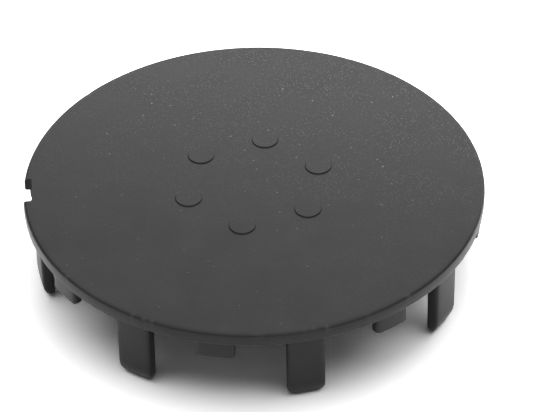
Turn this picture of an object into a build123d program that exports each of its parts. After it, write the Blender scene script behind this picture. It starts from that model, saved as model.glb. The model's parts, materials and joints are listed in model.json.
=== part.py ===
from build123d import *
import os

# Push-in hub dust cap for a road wheel, moulded in one piece.
# A flat round cover carries a ring of long spring legs that grip the wheel's bore and, between
# them, a ring of short stops that seat on the shoulder of the bore. A notch in the rim takes the
# blade that prises the cap out. The cap stands face up on the tips of its legs: the axis is +Z,
# the tips are at Z = 0, and a stop lies on each of the X and Y axes.

# Driving dimensions, in millimetres and degrees

# Cover
rim_diameter = 60.0
cover_thickness = 1.8
face_height = 12.0
face_edge_round = 0.4
back_edge_chamfer = 0.2

# Long spring legs, as many as there are stops
leg_count = 8
leg_ring_diameter = 57.8
leg_width = 4.8
leg_root_thickness = 1.65
leg_tip_thickness = 1.5
leg_lead_in_depth = 0.85
leg_lead_in_height = 2.4
leg_tip_inner_chamfer = 0.25
leg_corner_round = 1.3
leg_root_round = 0.8
leg_root_flare = 0.35

# Short stops
stop_setback = 0.35
stop_width = 4.8
stop_thickness = 1.3
stop_seat_depth = 4.4
stop_seat_edge_chamfer = 0.2
stop_corner_round = 0.4
stop_root_gusset = 0.5

# Prising notch, measured round the rim from the middle of the leg beside it
notch_width = 4.6
notch_depth = 1.15
notch_corner_round = 0.3
notch_angle_from_leg = 11.0

# Raised pads round the middle of the face
pad_count = 6
pad_diameter = 3.5
pad_height = 0.15
pad_circle_diameter = 18.0
pad_edge_chamfer = 0.08

# Marks that the mould leaves inside: ejector pins behind the legs, and the gate
ejector_mark_diameter = 3.0
ejector_mark_height = 0.1
ejector_circle_diameter = 46.0
gate_stub_diameter = 2.4
gate_stub_height = 0.4

# Sizes that follow from the driving dimensions
rim_radius = rim_diameter / 2
leg_ring_radius = leg_ring_diameter / 2
stop_ring_radius = rim_radius - stop_setback
back_height = face_height - cover_thickness
root_height = face_height - cover_thickness / 2
seat_height = face_height - stop_seat_depth
leg_pitch = 360 / leg_count
first_leg_angle = leg_pitch / 2
leg_beside_notch_angle = 180 + first_leg_angle
notch_angle = leg_beside_notch_angle - notch_angle_from_leg
pad_start_angle = 360 / pad_count / 2


# One long leg, lying along +X: a ring of the leg's radial section, cut to the leg's front outline
with BuildPart() as spring_leg:
    with BuildSketch(Plane.XZ) as leg_section:
        with BuildLine():
            lead_in_start = (leg_ring_radius, leg_lead_in_height)
            tip_outer = (leg_ring_radius - leg_lead_in_depth, 0)
            tip_inner = (leg_ring_radius - leg_tip_thickness, 0)
            root_inner_radius = leg_ring_radius - leg_root_thickness
            root_round_start = (root_inner_radius, back_height - leg_root_round)
            root_round_end = (root_inner_radius - leg_root_round, back_height)
            Line((leg_ring_radius, root_height), lead_in_start)
            TangentArc(lead_in_start, tip_outer, tangent=(0, -1))
            Line(tip_outer, tip_inner)
            inner_face = Line(tip_inner, root_round_start)
            TangentArc(root_round_start, root_round_end, tangent=inner_face % 1)
            Line(root_round_end, (root_round_end[0], root_height))
            Line((root_round_end[0], root_height), (leg_ring_radius, root_height))
        make_face()
        tip_inner_corner = leg_section.vertices().group_by(Axis.Y)[0].sort_by(Axis.X)[0]
        chamfer(tip_inner_corner, leg_tip_inner_chamfer)
    revolve(axis=Axis.Z)
    with BuildSketch(Plane.YZ) as leg_front:
        with BuildLine():
            half_leg = leg_width / 2
            Line((0, 0), (half_leg - leg_corner_round, 0))
            TangentArc((half_leg - leg_corner_round, 0), (half_leg, leg_corner_round), tangent=(1, 0))
            Polyline(
                (half_leg, leg_corner_round),
                (half_leg, back_height - leg_root_flare),
                (half_leg + leg_root_flare, back_height),
                (half_leg + leg_root_flare, root_height),
                (0, root_height),
            )
            mirror(about=Plane.YZ)
        make_face()
    extrude(amount=rim_radius, mode=Mode.INTERSECT)


# One short stop, made the same way
with BuildPart() as stop:
    with BuildSketch(Plane.XZ) as stop_section:
        with BuildLine():
            stop_inner_radius = stop_ring_radius - stop_thickness
            Polyline(
                (stop_ring_radius, root_height),
                (stop_ring_radius, seat_height),
                (stop_inner_radius, seat_height),
                (stop_inner_radius, back_height - stop_root_gusset),
                (stop_inner_radius - stop_root_gusset, back_height),
                (stop_inner_radius - stop_root_gusset, root_height),
                close=True,
            )
        make_face()
        chamfer(stop_section.vertices().group_by(Axis.Y)[0], stop_seat_edge_chamfer)
    revolve(axis=Axis.Z)
    with BuildSketch(Plane.YZ) as stop_front:
        with BuildLine():
            half_stop = stop_width / 2
            stop_corner_height = seat_height + stop_corner_round
            Line((0, seat_height), (half_stop - stop_corner_round, seat_height))
            TangentArc(
                (half_stop - stop_corner_round, seat_height),
                (half_stop, stop_corner_height),
                tangent=(1, 0),
            )
            Polyline((half_stop, stop_corner_height), (half_stop, root_height), (0, root_height))
            mirror(about=Plane.YZ)
        make_face()
    extrude(amount=rim_radius, mode=Mode.INTERSECT)


# The whole cap
with BuildPart() as hub_cap:
    # Cover with its rounded rim
    with BuildSketch(Plane.XZ) as cover_section:
        with BuildLine():
            Polyline(
                (0, back_height),
                (rim_radius, back_height),
                (rim_radius, face_height),
                (0, face_height),
                close=True,
            )
        make_face()
        rim_corners = cover_section.vertices().group_by(Axis.X)[-1].sort_by(Axis.Y)
        chamfer(rim_corners[0], back_edge_chamfer)
        fillet(rim_corners[-1], face_edge_round)
    revolve(axis=Axis.Z)

    # Prising notch
    with BuildSketch(Plane.XY.offset(back_height)):
        with PolarLocations(rim_radius, 1, start_angle=notch_angle):
            RectangleRounded(2 * notch_depth, notch_width, notch_corner_round)
    extrude(amount=cover_thickness, mode=Mode.SUBTRACT)

    # Legs and stops, turn and turn about
    with PolarLocations(0, leg_count, start_angle=first_leg_angle):
        add(spring_leg.part)
    with PolarLocations(0, leg_count):
        add(stop.part)

    # Marks inside
    with BuildSketch(Plane.XY.offset(back_height)):
        with PolarLocations(ejector_circle_diameter / 2, leg_count, start_angle=first_leg_angle):
            Circle(ejector_mark_diameter / 2)
    extrude(amount=-ejector_mark_height)
    with BuildSketch(Plane.XY.offset(back_height)):
        Circle(gate_stub_diameter / 2)
    extrude(amount=-gate_stub_height)

    # Pads on the face
    with BuildSketch(Plane.XY.offset(face_height)):
        with PolarLocations(pad_circle_diameter / 2, pad_count, start_angle=pad_start_angle):
            Circle(pad_diameter / 2)
    extrude(amount=pad_height)
    chamfer(hub_cap.edges().group_by(Axis.Z)[-1], pad_edge_chamfer)

hub_cap.part.label = "hub_cap"

os.makedirs("parts", exist_ok=True)
export_step(hub_cap.part, "parts/hub_cap.step")
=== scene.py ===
import json
import math
import random
from types import SimpleNamespace

import bmesh
import bpy
from mathutils import Matrix, Vector


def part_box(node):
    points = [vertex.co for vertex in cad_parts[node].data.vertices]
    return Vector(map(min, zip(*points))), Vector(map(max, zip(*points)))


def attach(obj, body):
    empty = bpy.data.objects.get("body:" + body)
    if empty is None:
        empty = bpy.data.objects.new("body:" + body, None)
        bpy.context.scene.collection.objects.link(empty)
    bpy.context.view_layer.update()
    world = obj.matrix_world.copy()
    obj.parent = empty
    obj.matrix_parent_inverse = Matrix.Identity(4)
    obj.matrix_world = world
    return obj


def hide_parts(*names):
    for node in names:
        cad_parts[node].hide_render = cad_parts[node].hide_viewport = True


bl_info = {
    "name": "Hub Dust Cap",
    "version": (1, 0, 0),
    "blender": (4, 5, 0),
    "location": "View3D > Sidebar > Hub Cap",
    "description": "Models a push-in wheel hub dust cap and sets it on a studio stage",
    "category": "Object",
}

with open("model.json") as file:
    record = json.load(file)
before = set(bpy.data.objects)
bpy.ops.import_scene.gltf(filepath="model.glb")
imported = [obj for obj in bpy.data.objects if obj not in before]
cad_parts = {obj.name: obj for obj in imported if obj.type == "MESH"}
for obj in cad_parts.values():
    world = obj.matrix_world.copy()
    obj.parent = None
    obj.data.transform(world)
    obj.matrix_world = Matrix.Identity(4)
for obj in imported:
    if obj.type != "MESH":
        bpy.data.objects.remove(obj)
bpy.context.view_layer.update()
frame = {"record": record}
CAP_NODE = "hub_cap"
BODY = "root"
MM = 0.001
CAP_LOW, CAP_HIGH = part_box(CAP_NODE)
RIM_REACH = min(CAP_HIGH.x, CAP_HIGH.y, -CAP_LOW.x, -CAP_LOW.y)
QUARTER_TURN = math.pi / 2
FULL_TURN = 2 * math.pi
SHARP_ANGLE = math.radians(38.0)
AXIS = (0.0, 0.0, 1.0)
CENTRE = (0.0, 0.0, 0.0)
SCUFF_LAYER = "scuff"
# Knocks on the rim's upper edge: bearing from +X in degrees, half width and depth in millimetres
KNOCKS = (
    (-107.4, 0.75, 0.16),
    (-105.6, 0.55, 0.07),
    (-110.8, 0.45, 0.05),
    (-40.5, 0.80, 0.06),
    (-63.0, 0.50, 0.03),
    (-132.5, 0.60, 0.04),
    (12.0, 0.60, 0.04),
    (74.0, 0.45, 0.05),
    (148.0, 0.70, 0.04),
)
# Small rubbed places on the same edge: least and most half width in millimetres, and strength
RUB_HALF_WIDTHS = (0.3, 1.2)
RUB_STRENGTHS = (0.15, 0.5)
# Faces across the rounded corner of a leg or stop, and rows of faces along each of its curves
CORNER_STEPS = 3
CURVE_STEPS = 6
# Span of the noise that shades from dark to light, and the tones of the plastic at its ends
CLOUD_SPAN = (0.3, 0.7)
PATCH_SPAN = (0.35, 0.65)
CLOUD_TONES = (0.86, 1.14)
# Spread of the roughness in the clouds, and how much rougher a scuff is
CLOUD_ROUGHNESS = 0.04
SCUFF_ROUGHNESS = 0.2
# How far the surface has to face up to hold dust, and how the dust thickens towards +Y and +X, in metres;
# that thickening towards the back and right is partly painted glint of the grain, which shows there in the
# sheen
DUST_FACING = (0.80, 0.98)
DUST_AND_GLINT_DRIFT_Y = (-0.010, 0.028)
DUST_AND_GLINT_DRIFT_X = (-0.030, 0.020)
GRAIN_STRENGTH = 0.6
# Sockets of a colour mix node, whose names are shared by its other types
MIX_FACTOR, MIX_BELOW, MIX_ABOVE, MIX_RESULT = 0, 6, 7, 2


def length(name, description, millimetres):
    """A length property, with its default in millimetres"""
    return bpy.props.FloatProperty(
        name=name,
        description=description,
        subtype="DISTANCE",
        unit="LENGTH",
        precision=5,
        default=millimetres * MM,
    )


def colour(name, description, red, green, blue):
    """A colour property"""
    return bpy.props.FloatVectorProperty(
        name=name,
        description=description,
        subtype="COLOR",
        size=3,
        min=0.0,
        max=1.0,
        default=(red, green, blue),
    )


def turn(name, description, degrees):
    """An angle property, with its default in degrees"""
    return bpy.props.FloatProperty(
        name=name,
        description=description,
        subtype="ANGLE",
        unit="ROTATION",
        default=math.radians(degrees),
    )


def share(name, description, default):
    """A factor property"""
    return bpy.props.FloatProperty(
        name=name, description=description, subtype="FACTOR", min=0.0, max=1.0, default=default
    )


def level(name, description, default):
    """A brightness, as a share of plain white"""
    return bpy.props.FloatProperty(name=name, description=description, min=0.0, default=default)


def count(name, description, default):
    """A whole number property"""
    return bpy.props.IntProperty(name=name, description=description, min=1, default=default)


class HubCapCover(bpy.types.PropertyGroup):
    """Sizes of the round cover and its rim"""

    rim_radius: length("Rim radius", "Outside of the rim", RIM_REACH / MM)
    thickness: length("Thickness", "Thickness of the cover", 1.8)
    edge_round: length("Edge round", "Radius of the rim's upper edge", 0.4)
    lower_round: length("Lower round", "Radius of the rim's lower edge", 0.2)
    land: length("Land", "Flat ring of the face inside the rounded edge", 0.4)
    notch_width: length("Notch width", "Width of the prising notch", 4.6)
    notch_depth: length("Notch depth", "Depth of the prising notch into the rim", 1.15)
    notch_corner: length("Notch corner", "Radius of the notch's inner corners", 0.3)
    pad_radius: length("Pad radius", "Radius of a raised pad", 1.75)
    pad_height: length("Pad height", "How far the pads stand above the face", 0.15)
    pad_circle: length("Pad circle", "Radius of the circle that the pads lie on", 9.0)
    pad_edge: length("Pad edge", "Width of the soft edge of a pad", 0.08)
    ejector_radius: length("Ejector mark radius", "Radius of an ejector pin's mark", 1.5)
    ejector_height: length("Ejector mark height", "How far an ejector pin's mark stands out", 0.1)
    ejector_circle: length("Ejector circle", "Radius of the circle of ejector marks", 23.0)
    gate_radius: length("Gate radius", "Radius of the stub that the mould's gate leaves", 1.2)
    gate_height: length("Gate height", "Height of the stub that the mould's gate leaves", 0.4)
    mark_edge: length("Mark edge", "Width of the soft edge of the moulding marks", 0.04)
    pads: count("Pads", "Number of raised pads", 6)
    rim_steps: count("Rim steps", "Faces round the rim", 1440)
    rubs: count("Rubs", "Number of small rubbed places on the rim's edge", 26)
    wear_seed: count("Wear seed", "Picks where the small rubbed places lie", 5)
    round_steps: count("Round steps", "Faces across a rounded edge", 6)
    circle_steps: count("Circle steps", "Faces round a pad", 48)


class HubCapLegs(bpy.types.PropertyGroup):
    """Sizes of the long spring legs and the short stops"""

    leg_outer: length("Leg ring", "Radius of the legs' outer faces", 28.9)
    leg_thickness: length("Leg thickness", "Thickness of a leg at its root", 1.65)
    leg_width: length("Leg width", "Width of a leg", 4.8)
    leg_taper: length("Leg taper", "How much thinner a leg is at its tip", 0.15)
    leg_edge: length("Leg edge", "Radius of a leg's long edges", 0.36)
    leg_corner: length("Leg corner", "Radius of a leg's lower corners", 1.3)
    leg_lead_depth: length("Lead-in depth", "How far the tip leans in from the leg's outer face", 0.85)
    leg_lead_height: length("Lead-in height", "Height of the curved lead-in", 2.4)
    leg_tip_chamfer: length("Tip chamfer", "Chamfer on the inner side of the tip", 0.25)
    leg_tip_round: length("Tip round", "Radius of the tip's edges", 0.28)
    leg_root_height: length("Root height", "Height of the round at a leg's root", 0.8)
    leg_root_inside: length("Root inside", "How far that round spreads inwards", 0.8)
    leg_root_sides: length("Root sides", "How far that round spreads to each side", 0.35)
    leg_root_outside: length("Root outside", "How far that round spreads outwards", 0.15)
    stop_setback: length("Stop setback", "From the rim in to the stops' outer faces", 0.35)
    stop_thickness: length("Stop thickness", "Thickness of a stop", 1.3)
    stop_width: length("Stop width", "Width of a stop", 4.8)
    stop_depth: length("Stop depth", "From the face down to the foot of a stop", 4.4)
    stop_edge: length("Stop edge", "Radius of a stop's upright edges", 0.40)
    stop_corner: length("Stop corner", "Radius of a stop's lower corners", 0.5)
    stop_foot_round: length("Stop foot round", "Radius of the edges of a stop's foot", 0.3)
    stop_root: length("Stop root", "Height and inward spread of the round at a stop's root", 0.5)
    rub: share("Rub", "How scuffed the lead-ins and the feet of the stops are", 0.3)
    pairs: count("Pairs", "Number of legs, and of stops", 8)
    across: count("Across", "Cuts across the width of a leg or stop", 6)


class HubCapFinish(bpy.types.PropertyGroup):
    """Colours and surface of the moulded plastic"""

    plastic: colour("Plastic", "Body colour of the plastic", 0.0205, 0.0205, 0.0209)
    # Colour of the dust specks, which also serves as the painted glint of the grain
    dust_and_glint: colour("Dust", "Colour of the dust that lies on the face", 0.42, 0.41, 0.40)
    scuff: colour("Scuff", "Colour of the plastic where the rim is scuffed", 0.06, 0.06, 0.06)
    roughness: share("Roughness", "Mean roughness of the spark-eroded face", 0.38)
    specular: share("Specular", "Level of the plastic's sheen, low because the grain shades itself", 0.18)
    grain_size: length("Grain size", "Width of one bump of the moulded grain", 0.22)
    grain_height: length("Grain height", "Height of the moulded grain", 0.030)
    cloud_size: length("Cloud size", "Width of the faint clouds in the finish", 5.0)
    speck_pitch: length("Speck pitch", "Spacing of the places where a speck can lie", 1.9)
    speck_radius: length("Speck radius", "Radius of the largest specks of dust", 0.14)
    # The finest specks are partly dust and partly painted glint of the grain, denser towards the back and
    # right
    haze_and_glint_pitch: length("Haze pitch", "Spacing of the finest dust", 0.34)
    haze_and_glint_radius: length("Haze radius", "Radius of the finest dust", 0.10)


class HubCapStudio(bpy.types.PropertyGroup):
    """Camera, lamps and floor of the stage"""

    azimuth: turn("Azimuth", "Bearing of the camera round the cap, from the -Y side towards +X", 9.918)
    elevation: turn("Elevation", "Height of the camera above the horizon", 39.140)
    roll: turn("Roll", "Turn of the camera about its line of sight", 1.064)
    distance: length("Distance", "From the camera to the point that it looks at", 376.47)
    aim_x: length("Aim X", "Point on the face that the camera looks at", 2.422)
    aim_y: length("Aim Y", "Point on the face that the camera looks at", -4.659)
    lens: bpy.props.FloatProperty(
        name="Lens",
        description="Focal length on a 36 mm sensor, in millimetres",
        default=197.49,
    )
    paper: colour("Paper", "Colour of the paper that the cap stands on", 0.90, 0.90, 0.90)
    paper_seen: level("Paper seen", "Tone of that paper where it is seen, at which open paper is white", 1.6)
    room: level("Room", "Brightness of the white room", 0.14)
    overhead: level("Overhead", "Brightness of the soft box above the cap", 2.05)
    behind: level("Behind", "Brightness of the soft box behind the cap", 1.45)
    card: level("Card", "Brightness of the white card close behind the cap", 2.9)
    front: level("Front", "Brightness of the card at the front, seen only in the plastic's sheen", 1.6)


def in_millimetres(group):
    """The lengths and counts of a property group, with lengths in millimetres"""
    values = {}
    for name, kind in group.bl_rna.properties.items():
        if kind.type in {"FLOAT", "INT"}:
            value = getattr(group, name)
            values[name] = value / MM if kind.unit == "LENGTH" else value
    return SimpleNamespace(**values)


def picked(geometry, kind):
    """The elements of one kind in an operator's output"""
    return [element for element in geometry if isinstance(element, kind)]


def drawn_on(bm, edges):
    """Draws a new row of faces on from open edges, and returns its vertices and outer edges"""
    grown = bmesh.ops.extrude_edge_only(bm, edges=edges)["geom"]
    verts = picked(grown, bmesh.types.BMVert)
    fresh = set(verts)
    outer = [edge for edge in picked(grown, bmesh.types.BMEdge) if fresh.issuperset(edge.verts)]
    return verts, outer


def line_to(bm, vert, place):
    """Draws a straight line on from a vertex, and returns its end"""
    end = bmesh.ops.extrude_vert_indiv(bm, verts=[vert])["verts"][0]
    end.co = place
    return end


def quarter_round(bm, geometry, centre, axis, steps):
    """Spins geometry on through a quarter turn, and returns its last row"""
    return bmesh.ops.spin(
        bm, geom=geometry, cent=centre, axis=axis, angle=QUARTER_TURN, steps=steps
    )["geom_last"]


def spin_rim(bm, cover, face, back):
    """Spins the rim's section, from the face over its rounded edge to the underside"""
    rim, high, low = cover.rim_radius, cover.edge_round, cover.lower_round
    across = (0.0, 1.0, 0.0)
    start = bm.verts.new((rim - high - cover.land, 0.0, face))
    end = line_to(bm, start, (rim - high, 0.0, face))
    row = quarter_round(bm, [end], (rim - high, 0.0, face - high), across, cover.round_steps)
    end = line_to(bm, picked(row, bmesh.types.BMVert)[0], (rim, 0.0, back + low))
    quarter_round(bm, [end], (rim - low, 0.0, back + low), across, cover.round_steps // 2)
    bmesh.ops.spin(
        bm,
        geom=bm.verts[:] + bm.edges[:],
        cent=CENTRE,
        axis=AXIS,
        angle=FULL_TURN,
        steps=cover.rim_steps,
        use_merge=True,
    )


def knock_rim(bm, cover, face):
    """Knocks small dents into the rim's upper edge, and marks them and the rubbed edge as scuffed"""
    layer = bm.verts.layers.float.new(SCUFF_LAYER)
    dice = random.Random(cover.wear_seed)
    marks = [(math.radians(bearing), half, depth, 1.0) for bearing, half, depth in KNOCKS]
    for _ in range(cover.rubs):
        bearing = dice.uniform(-math.pi, math.pi)
        half = dice.uniform(*RUB_HALF_WIDTHS)
        marks.append((bearing, half, 0.0, dice.uniform(*RUB_STRENGTHS)))
    for vert in bm.verts:
        radius = math.hypot(vert.co.x, vert.co.y)
        inward = Vector((-vert.co.x / radius, -vert.co.y / radius, -1.0)).normalized()
        off_edge = max(cover.rim_radius - radius, face - vert.co.z) / (2 * cover.edge_round)
        bearing = math.atan2(vert.co.y, vert.co.x)
        for middle, half, depth, shade in marks:
            along = cover.rim_radius * math.remainder(bearing - middle, FULL_TURN) / half
            if abs(along) < 1.0 and off_edge < 1.0:
                strength = (1.0 - along ** 2) ** 2 * (1.0 - off_edge ** 2) ** 2
                vert.co += inward * depth * strength
                vert[layer] = max(vert[layer], shade * strength)


def notch_direction():
    """The direction from the axis to the prising notch, from the record's mount"""
    for mount in frame["record"]["mounts"]:
        if mount["name"] == "prising_notch":
            return Vector(mount["axis"]).normalized()
    raise RuntimeError("the record has no mount for the prising notch")


def cut_notch(bm, cover, face, back):
    """Cuts the prising notch out of the rim and gives it walls with rounded inner corners"""
    out = notch_direction()
    along = Vector(AXIS).cross(out)
    half, corner = cover.notch_width / 2, cover.notch_corner
    reach = cover.rim_radius - cover.notch_depth
    touch = 1e-4
    for side in (half, -half):
        near = [part for part in bm.faces if part.calc_center_median().dot(out) > reach]
        pieces = {element for part in near for element in (part, *part.edges, *part.verts)}
        bmesh.ops.bisect_plane(bm, geom=list(pieces), dist=touch, plane_co=along * side, plane_no=along)
    gap = []
    for part in bm.faces:
        middle = part.calc_center_median()
        if middle.dot(out) > reach and abs(middle.dot(along)) < half:
            gap.append(part)
    bmesh.ops.delete(bm, geom=gap, context="FACES")

    bend = out * (reach + corner)
    inset = along * (half - corner)
    ends = [bm.verts.new(bend + along * half + Vector((0.0, 0.0, height))) for height in (face, back)]
    first = bm.edges.new(ends)
    row = quarter_round(bm, [*ends, first], bend + inset, AXIS, cover.round_steps)
    verts, edges = drawn_on(bm, picked(row, bmesh.types.BMEdge))
    bmesh.ops.translate(bm, verts=verts, vec=-2 * inset)
    row = quarter_round(bm, verts + edges, bend - inset, AXIS, cover.round_steps)
    last = picked(row, bmesh.types.BMEdge)[0]

    for side, upright in ((half, first), (-half, last)):
        section = [
            edge for edge in bm.edges
            if edge.is_boundary
            and all(vert.co.dot(out) > reach + 2 * corner for vert in edge.verts)
            and all(abs(vert.co.dot(along) - side) < touch for vert in edge.verts)
        ]
        chain = {vert for edge in section for vert in edge.verts}
        foot = sorted(upright.verts, key=lambda vert: vert.co.z)
        for height, corner_vert in ((back, foot[0]), (face, foot[1])):
            level_verts = [vert for vert in chain if abs(vert.co.z - height) < touch]
            inner = min(level_verts, key=lambda vert: vert.co.dot(out))
            section.append(bm.edges.new((inner, corner_vert)))
        bmesh.ops.edgeloop_fill(bm, edges=[*section, upright])


def raise_disc(bm, radius, place, height, edge, steps):
    """Raises a round pad with a soft edge at a place, and leaves its foot open"""
    ring = bmesh.ops.create_circle(
        bm, cap_ends=False, segments=steps, radius=radius, matrix=Matrix.Translation(place)
    )["verts"]
    edges = list({edge for vert in ring for edge in vert.link_edges})
    soft = math.copysign(edge, height)
    for lift, size in ((height - soft, 1.0), (soft, 1.0 - edge / radius)):
        verts, edges = drawn_on(bm, edges)
        bmesh.ops.translate(bm, verts=verts, vec=(0.0, 0.0, lift))
        bmesh.ops.scale(bm, verts=verts, vec=(size, size, 1.0), space=Matrix.Translation(-place))
    bmesh.ops.edgeloop_fill(bm, edges=edges)


def round_axis(radius, number, first, height):
    """Places spaced evenly round the axis"""
    for step in range(number):
        bearing = first + step * FULL_TURN / number
        yield Vector((radius * math.cos(bearing), radius * math.sin(bearing), height))


def rounded(drop, radius):
    """How far a quarter circle of a radius has come in, at a height above its lowest point"""
    if drop >= radius:
        return 0.0
    return radius - math.sqrt(radius ** 2 - (radius - drop) ** 2)


def tongue_point(place, tongue):
    """Moves a point of a tongue's straight prism to its place on the shaped tongue"""
    height = place.z - tongue.foot
    lean = 0.0
    if height < tongue.lead_height:
        bow = (tongue.lead_depth ** 2 + tongue.lead_height ** 2) / (2 * tongue.lead_depth)
        lean = bow - math.sqrt(bow ** 2 - (tongue.lead_height - height) ** 2)
    spread = 0.0
    climb = (place.z - tongue.root + tongue.root_height) / tongue.root_height
    if climb > 0.0:
        spread = 1.0 - math.sqrt(max(0.0, 1.0 - climb ** 2))
    soft = rounded(height, tongue.foot_round)
    taper = tongue.taper * (tongue.root - place.z) / (tongue.root - tongue.foot)
    chamfer = max(0.0, tongue.foot_chamfer - height)
    inner = tongue.inner + taper + max(chamfer, soft) - spread * tongue.root_inside
    outer = tongue.outer - lean - soft + spread * tongue.root_outside
    half = tongue.half - rounded(height, tongue.corner) + spread * tongue.root_sides
    depth = (place.x - tongue.inner) / (tongue.outer - tongue.inner)
    radius = inner + depth * (outer - inner)
    side = place.y * half / tongue.half
    return Vector((math.sqrt(radius ** 2 - side ** 2), side, place.z))


def tongue_heights(tongue):
    """Heights at which a tongue has a row of points, from its root down to its foot"""
    quarter = [QUARTER_TURN * step / CURVE_STEPS for step in range(CURVE_STEPS + 1)]
    heights = {tongue.root - tongue.root_height * (1.0 - math.sin(bend)) for bend in quarter}
    heights |= {tongue.foot + tongue.corner * (1.0 - math.cos(bend)) for bend in quarter}
    heights |= {tongue.foot + tongue.foot_round * (1.0 - math.cos(bend)) for bend in quarter[::2]}
    lead = tongue.lead_height - tongue.corner
    if lead > 0.0:
        rows = range(1, CURVE_STEPS + 1)
        heights |= {tongue.foot + tongue.corner + lead * row / CURVE_STEPS for row in rows}
    return sorted({round(height, 4) for height in heights}, reverse=True)


def hang_tongues(bm, tongue, number, first):
    """Shapes one tongue under the cover, open at its root, and copies it round the axis"""
    part = bmesh.new()
    corners = bmesh.ops.create_grid(part, x_segments=1, y_segments=1, size=0.5)["verts"]
    bmesh.ops.scale(part, verts=corners, vec=(tongue.outer - tongue.inner, 2 * tongue.half, 1.0))
    middle = (tongue.outer + tongue.inner) / 2
    bmesh.ops.translate(part, verts=corners, vec=(middle, 0.0, tongue.root))
    bmesh.ops.bevel(
        part,
        geom=corners,
        offset=tongue.edge,
        offset_type="OFFSET",
        segments=CORNER_STEPS,
        profile=0.5,
        affect="VERTICES",
        material=-1,
    )
    bmesh.ops.delete(part, geom=part.faces[:], context="FACES_ONLY")
    wide = [edge for edge in part.edges if abs(edge.verts[0].co.y - edge.verts[1].co.y) > tongue.half]
    bmesh.ops.subdivide_edges(part, edges=wide, cuts=tongue.across)
    edges = part.edges[:]
    for height in tongue_heights(tongue)[1:]:
        verts, edges = drawn_on(part, edges)
        for vert in verts:
            vert.co.z = height
    bmesh.ops.edgeloop_fill(part, edges=edges)
    layer = part.verts.layers.float.new(SCUFF_LAYER)
    for vert in part.verts:
        rub = 1.0 - (vert.co.z - tongue.foot) / tongue.rub_height
        if vert.co.x > (tongue.inner + tongue.outer) / 2:
            vert[layer] = tongue.rub * max(0.0, rub)
        vert.co = tongue_point(vert.co, tongue)
    bmesh.ops.rotate(part, verts=part.verts, cent=CENTRE, matrix=Matrix.Rotation(first, 3, "Z"))
    bmesh.ops.spin(
        part,
        geom=part.verts[:] + part.edges[:] + part.faces[:],
        cent=CENTRE,
        axis=AXIS,
        angle=FULL_TURN * (number - 1) / number,
        steps=number - 1,
        use_duplicate=True,
    )
    mesh = bpy.data.meshes.new("tongues")
    part.to_mesh(mesh)
    part.free()
    bm.from_mesh(mesh)
    bpy.data.meshes.remove(mesh)


def leg_sizes(legs, back):
    """A long spring leg, as the sizes of a tongue"""
    return SimpleNamespace(
        root=back,
        foot=0.0,
        outer=legs.leg_outer,
        inner=legs.leg_outer - legs.leg_thickness,
        half=legs.leg_width / 2,
        taper=legs.leg_taper,
        edge=legs.leg_edge,
        corner=legs.leg_corner,
        lead_depth=legs.leg_lead_depth,
        lead_height=legs.leg_lead_height,
        foot_chamfer=legs.leg_tip_chamfer,
        foot_round=legs.leg_tip_round,
        root_height=legs.leg_root_height,
        root_inside=legs.leg_root_inside,
        root_sides=legs.leg_root_sides,
        root_outside=legs.leg_root_outside,
        rub=legs.rub,
        rub_height=legs.leg_lead_height,
        across=legs.across,
    )


def stop_sizes(legs, cover, face, back):
    """A short stop, as the sizes of a tongue"""
    outer = cover.rim_radius - legs.stop_setback
    return SimpleNamespace(
        root=back,
        foot=face - legs.stop_depth,
        outer=outer,
        inner=outer - legs.stop_thickness,
        half=legs.stop_width / 2,
        taper=0.0,
        edge=legs.stop_edge,
        corner=legs.stop_corner,
        lead_depth=0.0,
        lead_height=0.0,
        foot_chamfer=0.0,
        foot_round=legs.stop_foot_round,
        root_height=legs.stop_root,
        root_inside=legs.stop_root,
        root_sides=0.0,
        root_outside=0.0,
        rub=legs.rub,
        rub_height=legs.stop_foot_round,
        across=legs.across,
    )


def fill_flat(bm, height):
    """Fills the flat between all the open edges at one height"""
    touch = 1e-3
    loops = [
        edge for edge in bm.edges
        if len(edge.link_faces) < 2 and all(abs(vert.co.z - height) < touch for vert in edge.verts)
    ]
    filled = bmesh.ops.triangle_fill(bm, use_beauty=True, edges=loops, normal=AXIS)
    for part in picked(filled["geom"], bmesh.types.BMFace):
        part.smooth = False


def mould_shell(cover, legs):
    """The whole cap as one closed mesh, in metres"""
    face = CAP_HIGH.z / MM - cover.pad_height
    back = face - cover.thickness
    half_pitch = math.pi / legs.pairs
    bm = bmesh.new()
    spin_rim(bm, cover, face, back)
    knock_rim(bm, cover, face)
    cut_notch(bm, cover, face, back)
    hang_tongues(bm, leg_sizes(legs, back), legs.pairs, half_pitch)
    hang_tongues(bm, stop_sizes(legs, cover, face, back), legs.pairs, 0.0)
    for place in round_axis(cover.pad_circle, cover.pads, math.pi / cover.pads, face):
        raise_disc(bm, cover.pad_radius, place, cover.pad_height, cover.pad_edge, cover.circle_steps)
    marks = [
        (place, cover.ejector_radius, cover.ejector_height)
        for place in round_axis(cover.ejector_circle, legs.pairs, half_pitch, back)
    ]
    marks.append((Vector((0.0, 0.0, back)), cover.gate_radius, cover.gate_height))
    for place, radius, height in marks:
        raise_disc(bm, radius, place, -height, cover.mark_edge, cover.circle_steps)
    for part in bm.faces:
        part.smooth = True
    fill_flat(bm, face)
    fill_flat(bm, back)
    bmesh.ops.recalc_face_normals(bm, faces=bm.faces)
    if any(len(edge.link_faces) != 2 for edge in bm.edges):
        raise RuntimeError("the cap's shell isn't closed")
    for edge in bm.edges:
        edge.smooth = edge.calc_face_angle() < SHARP_ANGLE
    bmesh.ops.scale(bm, verts=bm.verts, vec=(MM, MM, MM))
    mesh = bpy.data.meshes.new("cap_shell")
    bm.to_mesh(mesh)
    bm.free()
    return mesh


def new_nodes(material):
    """Clears a material's tree and returns it with a helper that adds nodes to it"""
    material.use_nodes = True
    tree = material.node_tree
    tree.nodes.clear()

    def add(kind, **values):
        node = tree.nodes.new(kind)
        for name, value in values.items():
            setattr(node, name, value)
        return node

    return tree, add


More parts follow.
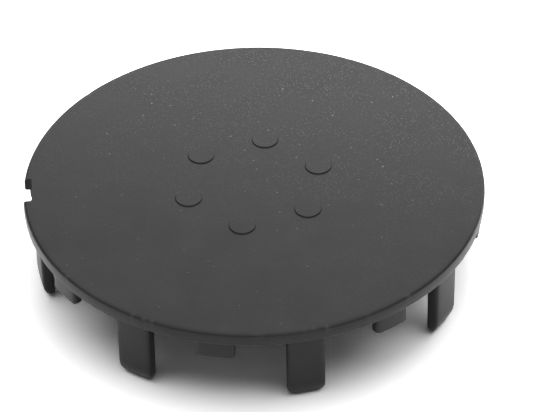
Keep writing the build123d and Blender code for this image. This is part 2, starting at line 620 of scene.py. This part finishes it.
def moulded_plastic(finish):
    """Matt charcoal plastic with a spark-eroded grain, faint clouds, scuffs, and light specks that are
    partly dust and partly painted glint of the grain, thicker towards the back and right
    """
    material = bpy.data.materials.new("moulded_plastic")
    tree, add = new_nodes(material)
    link = tree.links.new
    place = add("ShaderNodeTexCoord").outputs["Object"]
    shader = add("ShaderNodeBsdfPrincipled")
    output = add("ShaderNodeOutputMaterial")
    link(shader.outputs["BSDF"], output.inputs["Surface"])

    def noise(width, detail):
        """Noise whose lumps have a width"""
        node = add("ShaderNodeTexNoise", noise_dimensions="3D")
        node.inputs["Scale"].default_value = 1.0 / width
        node.inputs["Detail"].default_value = detail
        link(place, node.inputs["Vector"])
        return node.outputs["Fac"]

    def specks(pitch, radius):
        """Small round specks, one to a cell"""
        node = add("ShaderNodeTexVoronoi", voronoi_dimensions="3D", feature="F1")
        node.inputs["Scale"].default_value = 1.0 / pitch
        link(place, node.inputs["Vector"])
        return span(node.outputs["Distance"], 0.5 * radius / pitch, radius / pitch, 1.0, 0.0)

    def span(value, low, high, at_low, at_high):
        """A value's span from low to high, mapped to another span"""
        node = add("ShaderNodeMapRange", clamp=True)
        for name, number in zip(("From Min", "From Max", "To Min", "To Max"), (low, high, at_low, at_high)):
            node.inputs[name].default_value = number
        link(value, node.inputs["Value"])
        return node.outputs["Result"]

    def joined(operation, first, second):
        """Two values joined by a sum or a product"""
        node = add("ShaderNodeMath", operation=operation, use_clamp=True)
        link(first, node.inputs[0])
        link(second, node.inputs[1])
        return node.outputs["Value"]

    def layered(factor, below, tint):
        """A tint laid over the colour below it"""
        node = add("ShaderNodeMix", data_type="RGBA")
        link(factor, node.inputs[MIX_FACTOR])
        link(below, node.inputs[MIX_BELOW])
        node.inputs[MIX_ABOVE].default_value = (*tint, 1.0)
        return node.outputs[MIX_RESULT]

    clouds = noise(finish.cloud_size, 3.0)
    shades = add("ShaderNodeValToRGB")
    for stop, tone, position in zip(shades.color_ramp.elements, CLOUD_TONES, CLOUD_SPAN):
        stop.color = (*(channel * tone for channel in finish.plastic), 1.0)
        stop.position = position
    link(clouds, shades.inputs["Fac"])

    worn = add("ShaderNodeAttribute", attribute_name=SCUFF_LAYER).outputs["Fac"]
    worn = joined("MULTIPLY", worn, span(noise(finish.grain_size, 3.0), *PATCH_SPAN, 0.2, 1.0))

    facing = add("ShaderNodeSeparateXYZ")
    link(add("ShaderNodeNewGeometry").outputs["Normal"], facing.inputs["Vector"])
    upward = span(facing.outputs["Z"], *DUST_FACING, 0.0, 1.0)
    where = add("ShaderNodeSeparateXYZ")
    link(place, where.inputs["Vector"])
    # Painted glint: the specks thicken towards the back and right, partly as dust and partly to paint the
    # grain glinting in the sheen there
    to_back = span(where.outputs["Y"], *DUST_AND_GLINT_DRIFT_Y, 0.1, 1.0)
    to_right = span(where.outputs["X"], *DUST_AND_GLINT_DRIFT_X, 0.35, 1.0)
    drift_with_glint = joined("MULTIPLY", to_back, to_right)
    drift_with_glint = joined("MULTIPLY", drift_with_glint, span(clouds, *PATCH_SPAN, 0.2, 1.0))
    # The finest specks are partly dust and partly painted glint of the grain
    haze_and_glint = specks(finish.haze_and_glint_pitch, finish.haze_and_glint_radius)
    haze_and_glint = joined("MULTIPLY", haze_and_glint, span(drift_with_glint, 0.0, 1.0, 0.0, 0.34))
    large = specks(finish.speck_pitch, finish.speck_radius)
    large = joined("MULTIPLY", large, span(drift_with_glint, 0.0, 0.7, 0.05, 0.75))
    dust_and_glint = joined("MULTIPLY", joined("ADD", haze_and_glint, large), upward)

    tinted = layered(worn, shades.outputs["Color"], finish.scuff)
    link(layered(dust_and_glint, tinted, finish.dust_and_glint), shader.inputs["Base Color"])
    low, high = finish.roughness - CLOUD_ROUGHNESS, finish.roughness + CLOUD_ROUGHNESS
    rougher = span(worn, 0.0, 1.0, 0.0, SCUFF_ROUGHNESS)
    matt = joined("ADD", span(clouds, *CLOUD_SPAN, low, high), rougher)
    link(matt, shader.inputs["Roughness"])
    shader.inputs["Specular IOR Level"].default_value = finish.specular

    bump = add("ShaderNodeBump")
    bump.inputs["Strength"].default_value = GRAIN_STRENGTH
    bump.inputs["Distance"].default_value = finish.grain_height
    link(noise(finish.grain_size, 2.0), bump.inputs["Height"])
    link(bump.outputs["Normal"], shader.inputs["Normal"])
    return material


class HUBCAP_OT_shell(bpy.types.Operator):
    """Moulds the cap: cover, rim, notch, legs, stops and pads in one shell"""

    bl_idname = "hubcap.shell"
    bl_label = "Mould the cap"

    def execute(self, context):
        scene = context.scene
        mesh = mould_shell(in_millimetres(scene.hub_cap_cover), in_millimetres(scene.hub_cap_legs))
        mesh.materials.append(moulded_plastic(scene.hub_cap_finish))
        shell = bpy.data.objects.new("cap_shell", mesh)
        scene.collection.objects.link(shell)
        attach(shell, BODY)
        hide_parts(CAP_NODE)
        return {"FINISHED"}


def studio_floor(studio):
    """White paper that keeps the cap's shadow, and is white where it is open, to the eye and in the sheen"""
    material = bpy.data.materials.new("studio_paper")
    tree, add = new_nodes(material)
    link = tree.links.new
    path = add("ShaderNodeLightPath")
    seen = path.outputs["Is Camera Ray"]
    for ray in ("Is Glossy Ray", "Is Transmission Ray"):
        either = add("ShaderNodeMath", operation="MAXIMUM")
        link(seen, either.inputs[0])
        link(path.outputs[ray], either.inputs[1])
        seen = either.outputs["Value"]
    tone = add("ShaderNodeMix", data_type="RGBA")
    link(seen, tone.inputs[MIX_FACTOR])
    tone.inputs[MIX_BELOW].default_value = (*studio.paper, 1.0)
    tone.inputs[MIX_ABOVE].default_value = (studio.paper_seen, studio.paper_seen, studio.paper_seen, 1.0)
    shader = add("ShaderNodeBsdfDiffuse")
    output = add("ShaderNodeOutputMaterial")
    link(tone.outputs[MIX_RESULT], shader.inputs["Color"])
    link(shader.outputs["BSDF"], output.inputs["Surface"])

    half_floor = 3.0
    bpy.ops.mesh.primitive_plane_add(size=2 * half_floor, location=CENTRE)
    floor = bpy.context.active_object
    floor.name = "studio_floor"
    floor.data.materials.append(material)


def studio_room(studio):
    """White room round the stage, as even soft fill"""
    world = bpy.data.worlds.new("studio_room")
    bpy.context.scene.world = world
    world.use_nodes = True
    background = world.node_tree.nodes["Background"]
    background.inputs["Color"].default_value = (1.0, 1.0, 1.0, 1.0)
    background.inputs["Strength"].default_value = studio.room


def soft_box(name, place, width, height, brightness, fills=True):
    """Soft box turned to the cap, as bright as a share of plain white; without fill it is sheen only"""
    lamp = bpy.data.lights.new(name, "AREA")
    lamp.shape = "RECTANGLE"
    lamp.size = width
    lamp.size_y = height
    lamp.energy = brightness * math.pi * width * height
    box = bpy.data.objects.new(name, lamp)
    box.visible_camera = False
    box.visible_diffuse = fills
    facing = (-Vector(place)).to_track_quat("-Z", "Y")
    box.matrix_world = Matrix.LocRotScale(Vector(place), facing, None)
    bpy.context.scene.collection.objects.link(box)


def studio_lamps(studio):
    """Soft boxes above and behind the cap, and white cards close behind it and at the front"""
    soft_box("soft_box_overhead", (0.0, 0.05, 0.60), 1.30, 0.72, studio.overhead)
    soft_box("soft_box_behind", (0.05, 0.42, 0.36), 0.70, 0.24, studio.behind)
    soft_box("card_behind", (0.008, 0.072, 0.045), 0.165, 0.028, studio.card)
    soft_box("card_front", (0.05, -0.36, 0.40), 1.00, 0.42, studio.front, fills=False)


def studio_camera(studio, face):
    """Camera at the photograph's angle"""
    camera = bpy.data.objects.new("studio_camera", bpy.data.cameras.new("studio_camera"))
    bpy.context.scene.collection.objects.link(camera)
    camera.data.sensor_width = 36.0
    camera.data.lens = studio.lens
    camera.data.clip_start = 0.01
    camera.data.clip_end = 50.0
    flat = math.cos(studio.elevation)
    back = Vector((
        math.sin(studio.azimuth) * flat,
        -math.cos(studio.azimuth) * flat,
        math.sin(studio.elevation),
    ))
    aim = Vector((studio.aim_x, studio.aim_y, face))
    facing = (-back).to_track_quat("-Z", "Y").to_matrix() @ Matrix.Rotation(-studio.roll, 3, "Z")
    camera.matrix_world = Matrix.LocRotScale(aim + back * studio.distance, facing.to_quaternion(), None)
    bpy.context.scene.camera = camera


class HUBCAP_OT_stage(bpy.types.Operator):
    """Sets the floor, the soft studio light and the camera"""

    bl_idname = "hubcap.stage"
    bl_label = "Set the stage"

    def execute(self, context):
        scene = context.scene
        studio = scene.hub_cap_studio
        studio_floor(studio)
        studio_room(studio)
        studio_lamps(studio)
        studio_camera(studio, CAP_HIGH.z - scene.hub_cap_cover.pad_height)
        scene.view_settings.view_transform = "Standard"
        return {"FINISHED"}


class HUBCAP_PT_panel(bpy.types.Panel):
    """Lists the steps that make the cap"""

    bl_idname = "HUBCAP_PT_panel"
    bl_label = "Hub Dust Cap"
    bl_space_type = "VIEW_3D"
    bl_region_type = "UI"
    bl_category = "Hub Cap"

    def draw(self, context):
        layout = self.layout
        for operator in (HUBCAP_OT_shell, HUBCAP_OT_stage):
            layout.operator(operator.bl_idname)


CLASSES = (
    HubCapCover,
    HubCapLegs,
    HubCapFinish,
    HubCapStudio,
    HUBCAP_OT_shell,
    HUBCAP_OT_stage,
    HUBCAP_PT_panel,
)
SETTINGS = {
    "hub_cap_cover": HubCapCover,
    "hub_cap_legs": HubCapLegs,
    "hub_cap_finish": HubCapFinish,
    "hub_cap_studio": HubCapStudio,
}


def register():
    for cls in CLASSES:
        bpy.utils.register_class(cls)
    for name, group in SETTINGS.items():
        setattr(bpy.types.Scene, name, bpy.props.PointerProperty(type=group))


def unregister():
    for name in reversed(SETTINGS):
        delattr(bpy.types.Scene, name)
    for cls in reversed(CLASSES):
        bpy.utils.unregister_class(cls)


def main():
    register()
    bpy.ops.hubcap.shell()
    bpy.ops.hubcap.stage()


if __name__ == "__main__":
    main()
